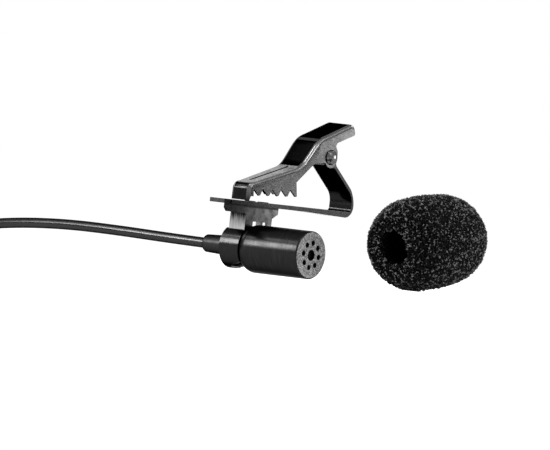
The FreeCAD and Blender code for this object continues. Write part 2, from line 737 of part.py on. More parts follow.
def torsion_spring():
    """Helix round the rivet; one leg ends on the arm, the other under the lever."""
    start = 180 - number("lever_leg_angle")
    end = math.degrees(math.atan2(number(arm_rise), number(arm_run))) + number("arm_leg_lean")
    turns = number("spring_turns") + (end - start) / 360
    length = turns * number("spring_pitch")
    helix = Part.makeHelix(number("spring_pitch"), length, number("spring_radius"))
    helix.rotate(Vector(0, 0, 0), Vector(0, 0, 1), start)
    turn = helix.Edges[0]
    lever_way = turn.tangentAt(turn.FirstParameter)
    lever_foot = turn.valueAt(turn.FirstParameter)
    lever_tip = lever_foot - lever_way * number("lever_leg")
    arm_foot = turn.valueAt(turn.LastParameter)
    arm_tip = arm_foot + turn.tangentAt(turn.LastParameter) * number("arm_leg")
    path = Part.Wire([Part.LineSegment(lever_tip, lever_foot).toShape(), turn,
                      Part.LineSegment(arm_foot, arm_tip).toShape()])
    ring = Part.Wire(Part.Circle(lever_tip, lever_way, number("spring_wire")).toShape())
    item = solid("torsion_spring", path.makePipeShell([ring], True, True))
    item.Placement = FreeCAD.Placement(Vector(0, 0, 0), FreeCAD.Rotation(Vector(0, 1, 0), -90))
    place(item, f"clip_middle + {length / 2}", "pivot_along", "pivot_height")
    return item


def jaw_outline(inset, underside):
    """Upper line of the jaw from nose to lever, moved inwards by the sheet if inset."""
    low = "jaw_sheet" if inset else "0"
    front = f"(jaw_nose + {low})"
    return [
        ("line", front, f"{jaw_low} + jaw_nose_rise"),
        ("arc", f"jaw_nose + jaw_nose_round", f"{top_front_z} - {low}"),
        ("line", f"{top_back_y} - 0.9 + {low} * 0.6", f"{top_back_z} - 0.265 - {low}"),
        ("arc", f"{top_back_y} + 1.5 + {low}", f"{top_back_z} + 1.33 - {low} * 0.7"),
        ("line", f"{top_back_y} + 3.6 + {low}", f"{top_back_z} + 4.0 - {low} * 0.5"),
        ("arc", f"{top_back_y} + 6.6 + {low} * 0.3", f"{top_back_z} + 6.0 - {low}"),
        ("line", f"lever_end - 1.6 + {low} * 0.5", f"{lever_top} - {low}"),
    ] + underside


def tooth_stops():
    """Teeth from the ears forward to the nose; each leans towards the rivet."""
    stops = []
    for step in reversed(range(5)):
        tip = f"(tooth_first + {step} * tooth_pitch)"
        low = f"(tooth_drop + {step} * tooth_climb)"
        stops.append(("line", f"{tip} + tooth_back * 0.25", f"{low} + tooth_depth * 0.1"))
        stops.append(("line", f"{tip} - 0.15", low))
        stops.append(("line", f"{tip} + tooth_back - tooth_pitch", f"{low} + tooth_depth"))
    return stops


def plan_trim(body, half_front, half_back, low):
    """Take the two wedges beside the narrow front of the channel away."""
    plan = new_sketch(body, "XY_Plane", low)
    for sign in (-1, 1):
        draw_outline(plan, [
            ("line", f"clip_middle + {sign} * {half_front}", "jaw_nose - 2"),
            ("line", f"clip_middle + {sign} * {half_front}", "jaw_nose"),
            ("line", f"clip_middle + {sign} * {half_back}", "pivot_along - 3"),
            ("line", f"clip_middle + {sign} * ({half_back} + 2)", "pivot_along - 3"),
            ("line", f"clip_middle + {sign} * ({half_back} + 2)", "jaw_nose - 2"),
        ])
    pocket(body, plan, "40")


def round_long_edges(body, radius):
    """Round the edges between the open upper faces and the two sides."""
    picked = []
    last = body.Tip
    shape = last.Shape
    middle_x = number("clip_middle")
    for count, edge in enumerate(shape.Edges, 1):
        middle = edge.valueAt((edge.FirstParameter + edge.LastParameter) / 2)
        open_face, sideways = False, False
        for face in shape.ancestorsOfType(edge, Part.Face):
            normal = face.normalAt(*face.Surface.parameter(middle))
            open_face = open_face or (normal.z > 0.3 or normal.y < -0.95) and abs(normal.x) < 0.1
            sideways = sideways or abs(normal.x) > 0.9
        inwards = math.copysign(0.1, middle_x - middle.x)
        above = [middle + Vector(inwards, -0.7 * rise, rise) for rise in (0.4, 1, 2)]
        covered = any(shape.isInside(spot, 1e-6, False) for spot in above)
        outside = abs(middle.x - middle_x) > number("jaw_groove_width")
        if open_face and sideways and outside and not covered:
            picked.append(f"Edge{count}")
    made = body.newObject("PartDesign::Fillet", body.Name + "_rounding")
    made.Base = (last, picked)
    bind(made, Radius=radius)
    body.Tip = made
    refresh(body)
    if "Invalid" in made.State:
        raise RuntimeError(f"{made.Name}: {made.getStatusString()}")


def jaw():
    """Stamped channel: nose, ridged top, toothed sides, steep part, ears and lever."""
    half_nose = "(jaw_nose_width / 2)"
    outer = new_body("jaw_outer")
    side_pad(outer, jaw_outline(False, [
        ("arc", "lever_end", f"{lever_top} - 1.0"),
        ("line", "lever_end - 0.4", f"{lever_top} - lever_side"),
        ("line", "pivot_along + 0.8", f"{lever_top} - lever_side - 1.8"),
        ("line", "pivot_along + ear_radius - 0.1", "pivot_height + 1.1"),
        ("line", "pivot_along + ear_radius", "pivot_height"),
        ("arc", "pivot_along - ear_radius * 0.8", "pivot_height - ear_radius * 0.6"),
        ("line", "pivot_along - 4.2", "pivot_height - 1.3"),
        ("line", "tooth_first + 4 * tooth_pitch - 0.3", "tooth_drop + 3.0"),
    ] + tooth_stops() + [
        ("line", "jaw_nose + 1.3", "tooth_drop - 0.2"),
        ("line", "jaw_nose + 0.6", "tooth_drop - 0.2"),
        ("line", "jaw_nose + jaw_sheet", jaw_low),
        ("line", "jaw_nose", jaw_low),
    ]), f"clip_middle + {jaw_outside}", f"2 * {jaw_outside}")
    groove_front = "(jaw_nose + jaw_nose_round + 1)"
    slope = "(jaw_top_rise / jaw_top_run)"
    side_pocket(outer, [
        ("line", groove_front, f"{top_front_z} + {slope} - jaw_groove_depth"),
        ("line", top_back_y, f"{top_back_z} - jaw_groove_depth"),
        ("line", top_back_y, f"{top_back_z} + 0.2"),
        ("line", groove_front, f"{top_front_z} + {slope} + 0.2"),
    ], "clip_middle + jaw_groove_width / 2", "jaw_groove_width")
    plan_trim(outer, half_nose, jaw_outside, "5")
    round_long_edges(outer, "jaw_round")
    inner = new_body("jaw_inner")
    side_pad(inner, jaw_outline(True, [
        ("arc", "lever_end + 1", f"{lever_top} - 1.5"),
        ("line", "lever_end + 1", "5"),
        ("line", "jaw_nose + jaw_sheet", "5"),
    ]), f"clip_middle + {jaw_inside}", f"2 * {jaw_inside}")
    plan_trim(inner, f"({half_nose} - jaw_sheet)", jaw_inside, "4")
    bore = cross_bar("jaw_bore", "rivet_radius + rivet_play",
                     f"clip_middle + {jaw_outside} + 1", f"2 * {jaw_outside} + 2")
    return cut("jaw", outer, [inner, bore])


def windscreen():
    """Foam with two round ends, cut flat at the mouth, and a blind bore along Y."""
    body = new_body("windscreen")
    front = "(-foam_straight / 2)"
    mouth = f"({front} - foam_mouth)"
    rim = "sqrt(foam_radius * foam_radius - foam_mouth * foam_mouth)"
    revolve(body, [
        ("line", "foam_bore", mouth),
        ("line", f"{rim} - foam_lip", mouth),
        ("arc", f"{rim} + 0.3", f"{mouth} + 0.85"),
        ("lead", "foam_radius", front),
        ("line", "foam_radius", "foam_straight / 2"),
        ("arc", "0", "foam_straight / 2 + foam_radius"),
        ("line", "0", f"{mouth} + foam_depth + foam_bore / 2"),
        ("line", "foam_bore * 0.7", f"{mouth} + foam_depth + foam_bore / 4"),
        ("line", "foam_bore", f"{mouth} + foam_depth - foam_bore / 4"),
    ], axis="V_Axis")
    body.Placement = FreeCAD.Placement(Vector(0, 0, 0), FreeCAD.Rotation(Vector(1, 0, 0), 1))
    bind(body, **{".Placement.Rotation.Angle": "foam_tilt"})
    place(body, "foam_x", "foam_y", "foam_radius - ground_gap + foam_straight / 2 * sin(foam_tilt)")
    return body


clip_plate()
clip_holder()
holder_stakes()
pivot_rivet()
torsion_spring()
jaw()
windscreen()


# -------------------------------------------------------------------- the cord
# The route's points are chosen by hand; z is measured from the microphone's axis.
CORD_ROUTE = [(-22.7, 0, 0), (-31, 0.05, 0.1), (-42, -0.05, 0.38), (-54, 0.1, 0.42), (-65, 0, -0.3),
              (-74, 0.12, -1.6), (-83, 0.05, -2.6), (-91.5, 0, -2.92)]
TAIL_ROUTE = [(-91.5, -29, 2.31), (-90.25, -28.98, 2.29), (-88.1, -28.75, 1.4), (-86.4, -28.45, -0.27),
              (-84.25, -28.2, -1.15), (-83, -28.2, -1.15)]


def rounded_path(points):
    """Straight runs joined by tangent arcs, each as large as its two runs allow."""
    points = [Vector(*point) for point in points]
    edges = []
    radii = []
    start = points[0]
    for before, corner, after in zip(points, points[1:], points[2:]):
        back = before - corner
        ahead = after - corner
        room_back = back.Length * (0.9 if before is points[0] else 0.45)
        room_ahead = ahead.Length * (0.9 if after is points[-1] else 0.45)
        reach = min(room_back, room_ahead)
        back.normalize()
        ahead.normalize()
        half_turn = (math.pi - back.getAngle(ahead)) / 2
        first = corner + back * reach
        last = corner + ahead * reach
        inward = back + ahead
        inward.normalize()
        centre_way = reach / math.tan(half_turn)
        radii.append(round(centre_way, 1))
        centre = corner + inward * math.hypot(centre_way, reach)
        middle = centre - inward * centre_way
        edges.append(Part.LineSegment(start, first).toShape())
        edges.append(Part.Arc(first, middle, last).toShape())
        start = last
    edges.append(Part.LineSegment(start, points[-1]).toShape())
    return Part.Wire(edges), radii


def cord_tube(label, points):
    path, radii = rounded_path(points)
    start = path.Edges[0].firstVertex().Point
    way = path.Edges[0].tangentAt(path.Edges[0].FirstParameter)
    ring = Part.Wire(Part.Circle(start, way, number("cord_radius")).toShape())
    shape = path.makePipeShell([ring], True, False)
    expected = math.pi * number("cord_radius") ** 2 * path.Length
    print(label, "length", round(path.Length, 1), "radii", radii, "volume ratio", round(shape.Volume / expected, 4))
    return solid(label, shape)


def cord_coil():
    """The outer shape of the wound turns: a ring with rounded edges."""
    inside = number(coil_inner_turn) - number("cord_radius")
    outside = number(coil_outer_turn) + number("cord_radius")
    low = number(coil_low)
    height = number(coil_high) - low
    ring = Part.makeCylinder(outside, height, Vector(0, 0, low)).cut(
        Part.makeCylinder(inside, height, Vector(0, 0, low)))
    edges = [edge for edge in ring.Edges if edge.Curve.TypeId == "Part::GeomCircle"]
    ring = ring.makeFillet(number("cord_radius"), edges)
    return solid("cord_coil", ring, ("coil_x", f"-{coil_outer_turn}", "0"))


def cord_tie():
    """A flat band round the turns, on the side of the coil that faces the microphone."""
    gap = 0.05
    thick = number("tie_thick")
    width = number("tie_width")
    hollow = number(coil_inner_turn) - number("cord_radius")
    inside = math.sqrt(hollow ** 2 - width ** 2 / 4) - gap
    outside = number(coil_outer_turn) + number("cord_radius") + gap
    low = number(coil_low)
    high = number(coil_high) + gap
    outer = Part.makeBox(outside - inside + 2 * thick, width, high - low + 2 * thick - gap,
                         Vector(inside - thick, -width / 2, low - thick))
    hole = Part.makeBox(outside - inside, width, high - low, Vector(inside, -width / 2, low))
    return solid("cord_tie", outer.cut(hole), ("coil_x", f"-{coil_outer_turn}", "0"))


cord_tube("cord", CORD_ROUTE)
cord_coil()
cord_tie()
cord_tube("cord_tail", TAIL_ROUTE)


# -------------------------------------------------------------------- the plug
def plug_piece(label, stops):
    """A turned piece of the plug; x runs from the rear of the relief to the tip."""
    body = turned(label, stops)
    place(body, "plug_x", "plug_y", plug_height)
    return body


body_rear = "plug_relief_length"
body_front = f"({body_rear} + plug_body_length)"
sleeve_end = f"({body_front} + plug_sleeve_length)"
ring_two_start = f"({sleeve_end} + plug_gap)"
ring_two_end = f"({ring_two_start} + plug_ring_length)"
ring_one_start = f"({ring_two_end} + plug_gap)"
ring_one_end = f"({ring_one_start} + plug_ring_length)"
tip_start = f"({ring_one_end} + plug_gap)"
tip_end = f"({tip_start} + plug_tip_length)"


def plug_contact(label, start, end):
    return plug_piece(label, [("line", start, "plug_shell"), ("line", start, "plug_radius"),
                              ("line", end, "plug_radius"), ("line", end, "plug_shell")])


def plug_body():
    """Handle with rounded ends; a shallow waist in the middle gives grip."""
    return plug_piece("plug_body", [
        ("line", body_rear, "cord_radius + 0.6"),
        ("line", body_rear, "plug_body_radius - 0.7"),
        ("lead", f"{body_rear} + 1.2", "plug_body_radius"),
        ("line", f"{body_front} - 0.6", "plug_body_radius"),
        ("arc", body_front, "plug_body_radius - 0.5"),
        ("line", body_front, "plug_shell"),
        ("line", f"{body_front} - 3", "plug_shell"),
        ("line", f"{body_front} - 3", "cord_radius + 0.6"),
    ])


def plug_relief():
    return plug_piece("plug_relief", [
        ("line", "0", "0"), ("line", "0", "1.4"), ("line", body_rear, "2.2"), ("line", body_rear, "0")])


def plug_tip():
    """Rounded tip with its waist, and the core that runs back through the plug."""
    return plug_piece("plug_tip", [
        ("line", f"{body_front} - 3", "0"),
        ("line", f"{body_front} - 3", "plug_core"),
        ("line", tip_start, "plug_core"),
        ("line", tip_start, "plug_radius"),
        ("line", f"{tip_start} + 0.5", "plug_radius"),
        ("line", f"{tip_start} + 1.1", "plug_radius - 0.55"),
        ("line", f"{tip_start} + 1.5", "plug_radius - 0.55"),
        ("line", f"{tip_start} + 2.2", "plug_radius - 0.1"),
        ("line", f"{tip_end} - 0.3", "0.6"),
        ("line", tip_end, "0.3"),
        ("line", tip_end, "0"),
    ])


def plug_insulator():
    """Inner tube with a flush band before each contact."""
    stops = [("line", f"{body_front} - 3", "plug_core"), ("line", f"{body_front} - 3", "plug_shell")]
    for start in (sleeve_end, ring_two_end, ring_one_end):
        stops += [("line", start, "plug_shell"), ("line", start, "plug_radius"),
                  ("line", f"{start} + plug_gap", "plug_radius"), ("line", f"{start} + plug_gap", "plug_shell")]
    stops[-1] = ("line", tip_start, "plug_core")
    return plug_piece("plug_insulator", stops)


plug_relief()
plug_body()
plug_contact("plug_sleeve", body_front, sleeve_end)
plug_contact("plug_ring_2", ring_two_start, ring_two_end)
plug_contact("plug_ring_1", ring_one_start, ring_one_end)
plug_tip()
plug_insulator()


# ----------------------------------------------------------- checks and output
NODES = ["barrel_tube", "front_grille", "dust_screen", "felt_disc", "capsule_can", "diaphragm_ring",
         "backplate", "capsule_board", "fet_chip", "capsule_boot", "solder_joints", "signal_wire",
         "ground_wire", "rear_neck", "lock_nut", "crimp_ferrule", "cord_inside", "strain_relief",
         "clip_plate", "clip_holder", "holder_stakes", "pivot_rivet", "torsion_spring", "jaw", "windscreen",
         "cord", "cord_coil", "cord_tie", "cord_tail", "plug_relief", "plug_body", "plug_sleeve",
         "plug_ring_2", "plug_ring_1", "plug_tip", "plug_insulator"]

doc.recompute()
for item in doc.Objects:
    if "Invalid" in item.State or "Error" in item.State:
        raise RuntimeError(f"{item.Name} is {item.State}")
shapes = {}
for name in NODES:
    shape = doc.getObjectsByLabel(name)[0].Shape
    if shape.isNull() or not shape.isValid() or not shape.Solids:
        raise RuntimeError(f"{name} has no valid solid")
    shapes[name] = shape
os.makedirs("parts", exist_ok=True)
for name, shape in shapes.items():
    shape.exportStep(f"parts/{name}.step")
print("nodes", len(shapes))
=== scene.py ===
import json
import math
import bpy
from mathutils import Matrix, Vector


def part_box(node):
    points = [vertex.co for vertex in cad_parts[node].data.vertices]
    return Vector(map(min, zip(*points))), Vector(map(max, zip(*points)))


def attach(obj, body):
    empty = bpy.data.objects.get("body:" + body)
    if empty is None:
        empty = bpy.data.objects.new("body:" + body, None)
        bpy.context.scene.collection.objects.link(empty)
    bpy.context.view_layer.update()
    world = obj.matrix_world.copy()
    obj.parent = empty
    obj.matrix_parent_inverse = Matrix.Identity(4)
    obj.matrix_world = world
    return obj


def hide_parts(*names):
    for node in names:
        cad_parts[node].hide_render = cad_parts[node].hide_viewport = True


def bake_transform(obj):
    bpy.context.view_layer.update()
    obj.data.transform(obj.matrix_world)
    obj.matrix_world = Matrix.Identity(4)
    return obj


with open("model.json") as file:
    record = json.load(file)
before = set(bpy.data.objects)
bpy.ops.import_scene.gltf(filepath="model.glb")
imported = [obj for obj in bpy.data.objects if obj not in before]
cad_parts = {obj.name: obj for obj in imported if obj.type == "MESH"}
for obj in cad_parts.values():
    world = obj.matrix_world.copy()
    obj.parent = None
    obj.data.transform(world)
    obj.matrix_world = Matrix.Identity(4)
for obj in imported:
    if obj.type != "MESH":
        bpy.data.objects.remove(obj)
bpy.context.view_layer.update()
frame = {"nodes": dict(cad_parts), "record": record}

from types import SimpleNamespace

import bmesh
import bpy
import numpy as np
from mathutils import Matrix, Vector

mm = 0.001  # the scene is in metres, the sizes below are in mm
radians = math.radians
print("frame loaded:", len(frame["nodes"]), "nodes")


# a new object that holds some data, linked to the scene
def linkNew(name, data):
    thing = bpy.data.objects.new(name, data)
    bpy.context.scene.collection.objects.link(thing)
    return thing


# camera: azimuth turns from -Y towards +X, roll leans the picture clockwise, all lengths are in mm
camera = {"target": (-5.11, -4.03, 4.47), "azimuth": 38.1, "elevation": 0.25, "roll": 6.5,
          "distance": 3000.0, "lens": 1146.0, "nearest": 50.0, "farthest": 30000.0}


# direction = (sin a cos e, -cos a cos e, sin e), pointing from the object outwards
def directionAt(azimuth, elevation):
    a = radians(azimuth)
    e = radians(elevation)
    return Vector((math.sin(a) * math.cos(e), -math.cos(a) * math.cos(e), math.sin(e)))


# camera axes: back = direction, side = the horizontal square to back, raised by the roll, up = back x side
def placeCamera():
    back = directionAt(camera["azimuth"], camera["elevation"])
    horizontal = Vector((0, 0, 1)).cross(back).normalized()
    side = Matrix.Rotation(radians(camera["roll"]), 3, back) @ horizontal
    up = back.cross(side)
    place = Vector(camera["target"]) * mm + back * camera["distance"] * mm
    data = bpy.data.cameras.new("camera")
    data.lens = camera["lens"]
    data.clip_start = camera["nearest"] * mm
    data.clip_end = camera["farthest"] * mm
    eye = linkNew("camera", data)
    eye.matrix_world = Matrix.Translation(place) @ Matrix((side, up, back)).transposed().to_4x4()
    bpy.context.scene.camera = eye


placeCamera()
print("camera placed")


# a material with its shader, the place on the piece and short calls that add nodes
class Finish:
    def __init__(self, name):
        self.material = bpy.data.materials.new(name)
        self.material.use_nodes = True
        self.tree = self.material.node_tree
        self.shader = self.tree.nodes["Principled BSDF"]
        self.place = self.node("ShaderNodeTexCoord").outputs["Object"]

    # a new node of a kind, with its settings
    def node(self, kind, **settings):
        made = self.tree.nodes.new(kind)
        for key, value in settings.items():
            setattr(made, key, value)
        return made

    # a wire from one node's output to another's input
    def link(self, start, end):
        self.tree.links.new(start, end)

    # noise of a feature size in mm, stretched along each axis
    def noise(self, size, detail=2.0, stretch=(1, 1, 1)):
        mapping = self.node("ShaderNodeMapping")
        mapping.inputs["Scale"].default_value = [1 / (size * mm * s) for s in stretch]
        texture = self.node("ShaderNodeTexNoise")
        texture.inputs["Scale"].default_value = 1.0
        texture.inputs["Detail"].default_value = detail
        self.link(self.place, mapping.inputs["Vector"])
        self.link(mapping.outputs["Vector"], texture.inputs["Vector"])
        return texture.outputs["Fac"]

    # value in low..high becomes start..end, and stays at the nearer end outside
    def spread(self, value, low, high, start=0.0, end=1.0):
        fit = self.node("ShaderNodeMapRange")
        for key, number in zip(("From Min", "From Max", "To Min", "To Max"), (low, high, start, end)):
            fit.inputs[key].default_value = number
        self.link(value, fit.inputs["Value"])
        return fit.outputs["Result"]

    # first x (1 - amount) + second x amount, where either may be a colour or come from another node
    def blend(self, amount, first, second):
        mix = self.node("ShaderNodeMix", data_type="RGBA")
        self.link(amount, mix.inputs["Factor"])
        for key, colour in (("A", first), ("B", second)):
            if isinstance(colour, tuple):
                mix.inputs[key].default_value = (*colour, 1)
            else:
                self.link(colour, mix.inputs[key])
        return mix.outputs["Result"]

    # one axis of the place on the piece, in mm
    def along(self, axis):
        parts = self.node("ShaderNodeSeparateXYZ")
        self.link(self.place, parts.inputs["Vector"])
        return self.maths("MULTIPLY", parts.outputs[axis], 1 / mm)

    # a value that the mesh holds at its points
    def attribute(self, name):
        return self.node("ShaderNodeAttribute", attribute_name=name).outputs["Fac"]

    # first and second joined by a sum, product or the like, where second may be a plain number
    def maths(self, operation, first, second):
        made = self.node("ShaderNodeMath", operation=operation)
        self.link(first, made.inputs[0])
        if isinstance(second, float):
            made.inputs[1].default_value = second
        else:
            self.link(second, made.inputs[1])
        return made.outputs["Value"]

    # relief that is a height times a depth in mm
    def bump(self, height, depth):
        made = self.node("ShaderNodeBump")
        made.inputs["Distance"].default_value = depth * mm
        self.link(height, made.inputs["Height"])
        self.link(made.outputs["Normal"], self.shader.inputs["Normal"])

    # the shader's colour comes from a node
    def colourFrom(self, colour):
        self.link(colour, self.shader.inputs["Base Color"])

    # plain values on the shader's own sockets
    def set(self, **sockets):
        for key, value in sockets.items():
            self.shader.inputs[key.replace("_", " ")].default_value = value


# a colour with no hue
def grey(level):
    return (level, level, level)


# a finish has these where its own line doesn't say otherwise; from..to is where the fleck comes in
plainLook = {"stretch": (1, 1, 1), "from": 0.4, "to": 0.7, "metal": 0.0, "shine": 0.5, "tint": 1.0,
             "detail": 3.0, "cloudTimes": 9, "cloudLow": 0.3, "cloudHigh": 0.7}
finishes = {
    "satin_black": {"colour": (0.0135, 0.0135, 0.0137), "fleck": (0.0195, 0.0195, 0.0197), "grain": 0.2,
                    "stretch": (1, 12, 12), "rough": 0.25, "play": 0.06, "height": 0.003, "metal": 1.0,
                    "tint": 0.45},
    "grille_grey": {"colour": grey(0.08), "fleck": grey(0.68), "grain": 0.18, "rough": 0.5, "play": 0.1,
                    "height": 0.04, "metal": 0.4},
    # painted shade: near-black walls inside the grille's holes
    "hole_wall_painted_shade": {"colour": grey(0.002), "fleck": grey(0.004), "grain": 0.14, "rough": 0.5, "play": 0.06,
                  "height": 0.003, "shine": 0.1},
    "black_steel": {"colour": grey(0.009), "fleck": grey(0.016), "grain": 0.14, "rough": 0.16, "play": 0.05,
                    "height": 0.003, "metal": 1.0, "tint": 0.12},
    "gunmetal": {"colour": grey(0.0125), "fleck": grey(0.035), "grain": 0.22, "stretch": (1, 3, 1),
                 "from": 0.25, "rough": 0.3, "play": 0.08, "height": 0.004, "metal": 1.0, "tint": 0.7},
    # painted highlight: lighter steel on the jaw's crest and on the plate's end
    "crest_and_tip_painted_highlight": {"colour": grey(0.045), "fleck": grey(0.065), "grain": 0.2, "rough": 0.2, "play": 0.06,
                      "height": 0.003, "metal": 1.0, "tint": 0.5},
    # painted highlight: much lighter steel on the jaw's rounded shoulders
    "shoulder_painted_highlight": {"colour": grey(0.1), "fleck": grey(0.15), "grain": 0.2, "rough": 0.22, "play": 0.06,
                        "height": 0.003, "metal": 1.0, "tint": 0.6},
    # the ridge top: the streaks along it are grain, the lighter steel is a painted highlight
    "ridge_grain_and_painted_highlight": {"colour": grey(0.12), "fleck": grey(0.4), "grain": 0.16, "stretch": (1, 9, 1),
                     "rough": 0.35, "play": 0.1, "height": 0.004, "metal": 1.0},
    "ring_steel": {"colour": grey(0.0125), "fleck": grey(0.023), "grain": 0.14, "rough": 0.21, "play": 0.06,
                   "height": 0.003, "metal": 1.0, "tint": 0.35},
    "worn_edge": {"colour": grey(0.016), "fleck": grey(0.028), "grain": 0.3, "rough": 0.24, "play": 0.06,
                  "height": 0.003, "metal": 1.0, "tint": 0.6},
    "sheared_edge": {"colour": grey(0.0025), "fleck": grey(0.009), "grain": 0.2, "rough": 0.28, "play": 0.08,
                     "height": 0.004, "metal": 1.0, "tint": 0.7},
    "gloss_steel": {"colour": grey(0.085), "fleck": grey(0.095), "grain": 0.2, "rough": 0.2, "play": 0.05,
                    "height": 0.002, "metal": 1.0, "tint": 0.5},
    "spring_steel": {"colour": grey(0.05), "fleck": grey(0.09), "grain": 0.1, "rough": 0.3, "play": 0.1,
                     "height": 0.003, "metal": 0.8},
    "soft_rubber": {"colour": grey(0.02), "fleck": grey(0.031), "grain": 0.14, "rough": 0.38, "play": 0.1,
                    "height": 0.006, "metal": 1.0, "tint": 0.25},
    "cord_jacket": {"colour": grey(0.026), "fleck": grey(0.034), "grain": 0.2, "rough": 0.24, "play": 0.06,
                    "height": 0.003, "metal": 1.0, "tint": 0.3},
    "black_plastic": {"colour": grey(0.007), "fleck": grey(0.012), "grain": 0.12, "rough": 0.34, "play": 0.1,
                      "height": 0.004, "metal": 1.0, "tint": 0.3},
    "plated_contact": {"colour": (0.55, 0.53, 0.48), "fleck": (0.48, 0.46, 0.42), "grain": 0.3, "rough": 0.16,
                       "play": 0.08, "height": 0.002, "metal": 1.0},
    "contact_brass": {"colour": (0.72, 0.52, 0.24), "fleck": (0.60, 0.42, 0.18), "grain": 0.3, "rough": 0.28,
                      "play": 0.1, "height": 0.002, "metal": 1.0},
    "bare_aluminium": {"colour": (0.74, 0.74, 0.75), "fleck": (0.62, 0.62, 0.63), "grain": 0.2,
                       "rough": 0.35, "play": 0.1, "height": 0.003, "metal": 1.0},
    "board": {"colour": (0.03, 0.16, 0.07), "fleck": (0.05, 0.22, 0.10), "grain": 0.15, "rough": 0.4,
              "play": 0.1, "height": 0.002},
    "solder": {"colour": (0.66, 0.66, 0.67), "fleck": grey(0.5), "grain": 0.15, "rough": 0.25, "play": 0.1,
               "height": 0.004, "metal": 1.0},
    "wire_jacket": {"colour": (0.42, 0.03, 0.02), "fleck": (0.34, 0.02, 0.02), "grain": 0.15, "rough": 0.45,
                    "play": 0.1, "height": 0.003},
    "screen_cloth": {"colour": grey(0.003), "fleck": grey(0.012), "grain": 0.08, "rough": 0.9, "play": 0.1,
                     "height": 0.02, "shine": 0.2},
}


# colour = base mixed with its flecks where a noise is high; roughness = middle +- half the play, by a
# second, wider noise; bump = the fleck noise times the grain's height in mm
def grainedFinish(name, ownLook):
    look = {**plainLook, **ownLook}
    made = Finish(name)
    grain = made.noise(look["grain"], look["detail"], look["stretch"])
    cloud = made.noise(look["grain"] * look["cloudTimes"])
    made.colourFrom(made.blend(made.spread(grain, look["from"], look["to"]), look["colour"], look["fleck"]))
    half = look["play"] / 2
    rough = made.spread(cloud, look["cloudLow"], look["cloudHigh"],
                        look["rough"] - half, look["rough"] + half)
    made.link(rough, made.shader.inputs["Roughness"])
    made.bump(grain, look["height"])
    made.set(Metallic=look["metal"], Specular_IOR_Level=look["shine"],
             Specular_Tint=(*grey(look["tint"]), 1))
    return made.material


# the web under the plate, with painted shade close under the plate and on the far part of the cross-arm:
# underPlate and arm are places in mm along Z and Y, fade is how soft they are
web = {"shade": grey(0.01), "light": grey(0.031), "dark": grey(0.0015), "cloud": 1.3, "cloudDetail": 4.0,
       "cloudLow": 0.35, "cloudHigh": 0.65, "underPlate": 6.95, "arm": -3.55, "fade": 0.1, "armShare": 0.55,
       "grain": 0.25, "height": 0.004, "rough": 0.28, "tint": 0.7}


# colour = the shade and light tones mixed by a wide noise, then painted shade: all dark above underPlate and
# partly dark past arm
def webFinish():
    made = Finish("mottled_web_painted_shade")
    cloud = made.noise(web["cloud"], web["cloudDetail"])
    body = made.blend(made.spread(cloud, web["cloudLow"], web["cloudHigh"]), web["shade"], web["light"])
    # painted shade close under the plate and on the far part of the cross-arm
    paintedShadeUnderPlate = made.spread(made.along("Z"), web["underPlate"] - web["fade"], web["underPlate"] + web["fade"])
    paintedShadeOnArm = made.spread(made.along("Y"), web["arm"], web["arm"] - web["fade"], 0.0, web["armShare"])
    made.colourFrom(made.blend(made.maths("MAXIMUM", paintedShadeUnderPlate, paintedShadeOnArm), body, web["dark"]))
    made.bump(made.noise(web["grain"]), web["height"])
    made.set(Metallic=1.0, Roughness=web["rough"], Specular_Tint=(*grey(web["tint"]), 1))
    return made.material


# the upright strap, with a painted highlight low down, painted shade higher up and a painted crease shadow at
# the foot: foot, footHigh, low and high are places in mm along Z
strap = {"bright": grey(0.23), "strapShadeColour": grey(0.004), "foot": 3.0, "footHigh": 3.1, "low": 3.4, "high": 5.7,
         "brush": 0.12, "brushStretch": (1, 1, 12), "brushLow": 0.3, "brushHigh": 0.7, "brushShare": 0.2,
         "rough": 0.3, "tint": 0.5}


# colour = painted highlight mixed with painted shade by the rise from low to high plus upright brush marks,
# painted shadow black at the foot
def strapFinish():
    made = Finish("brushed_strap_painted_light")
    rise = made.spread(made.along("Z"), strap["low"], strap["high"])
    marks = made.noise(strap["brush"], stretch=strap["brushStretch"])
    brush = made.spread(marks, strap["brushLow"], strap["brushHigh"],
                        -strap["brushShare"], strap["brushShare"])
    # painted crease shadow where the strap meets the ring
    foot = made.spread(made.along("Z"), strap["footHigh"], strap["foot"])
    share = made.maths("MAXIMUM", made.maths("ADD", rise, brush), foot)
    made.colourFrom(made.blend(share, strap["bright"], strap["strapShadeColour"]))
    made.set(Metallic=1.0, Roughness=strap["rough"], Specular_Tint=(*grey(strap["tint"]), 1))
    return made.material


materials = {slot: grainedFinish(slot, look) for slot, look in finishes.items()}
materials["mottled_web_painted_shade"] = webFinish()
materials["brushed_strap_painted_light"] = strapFinish()
print("finishes made:", len(materials))


# the cord: free run, turns of the coil and tail are one line; places and sizes are in mm
cordSizes = {"radius": 0.91, "stepsPerPoint": 6, "roundness": 4}
freeRun = [(-22.7, 0, 0), (-31, 0.05, 0.1), (-42, -0.05, 0.38), (-54, 0.1, 0.42), (-65, 0, -0.3),
           (-74, 0.12, -1.6), (-83, 0.05, -2.6), (-91.5, 0, -2.92)]
tail = [(-91.5, -29, 2.31), (-90.25, -28.98, 2.29), (-88.1, -28.75, 1.4), (-86.4, -28.45, -0.27),
        (-84.25, -28.2, -1.15), (-83, -28.2, -1.15)]
coil = {"middle": (-99.0, -14.5), "outerTurn": 14.5, "step": 1.85, "layer": 1.75, "bottom": -2.94,
        "columns": 5, "rows": 4, "turns": 19.5, "pointsPerTurn": 16, "ramp": 1 / 6, "stepAfter": 5,
        "climbAfter": 4.5}


# 3t^2 - 2t^3 of t clipped to 0..1
def easeStep(t):
    t = np.clip(t, 0, 1)
    return t * t * (3 - 2 * t)


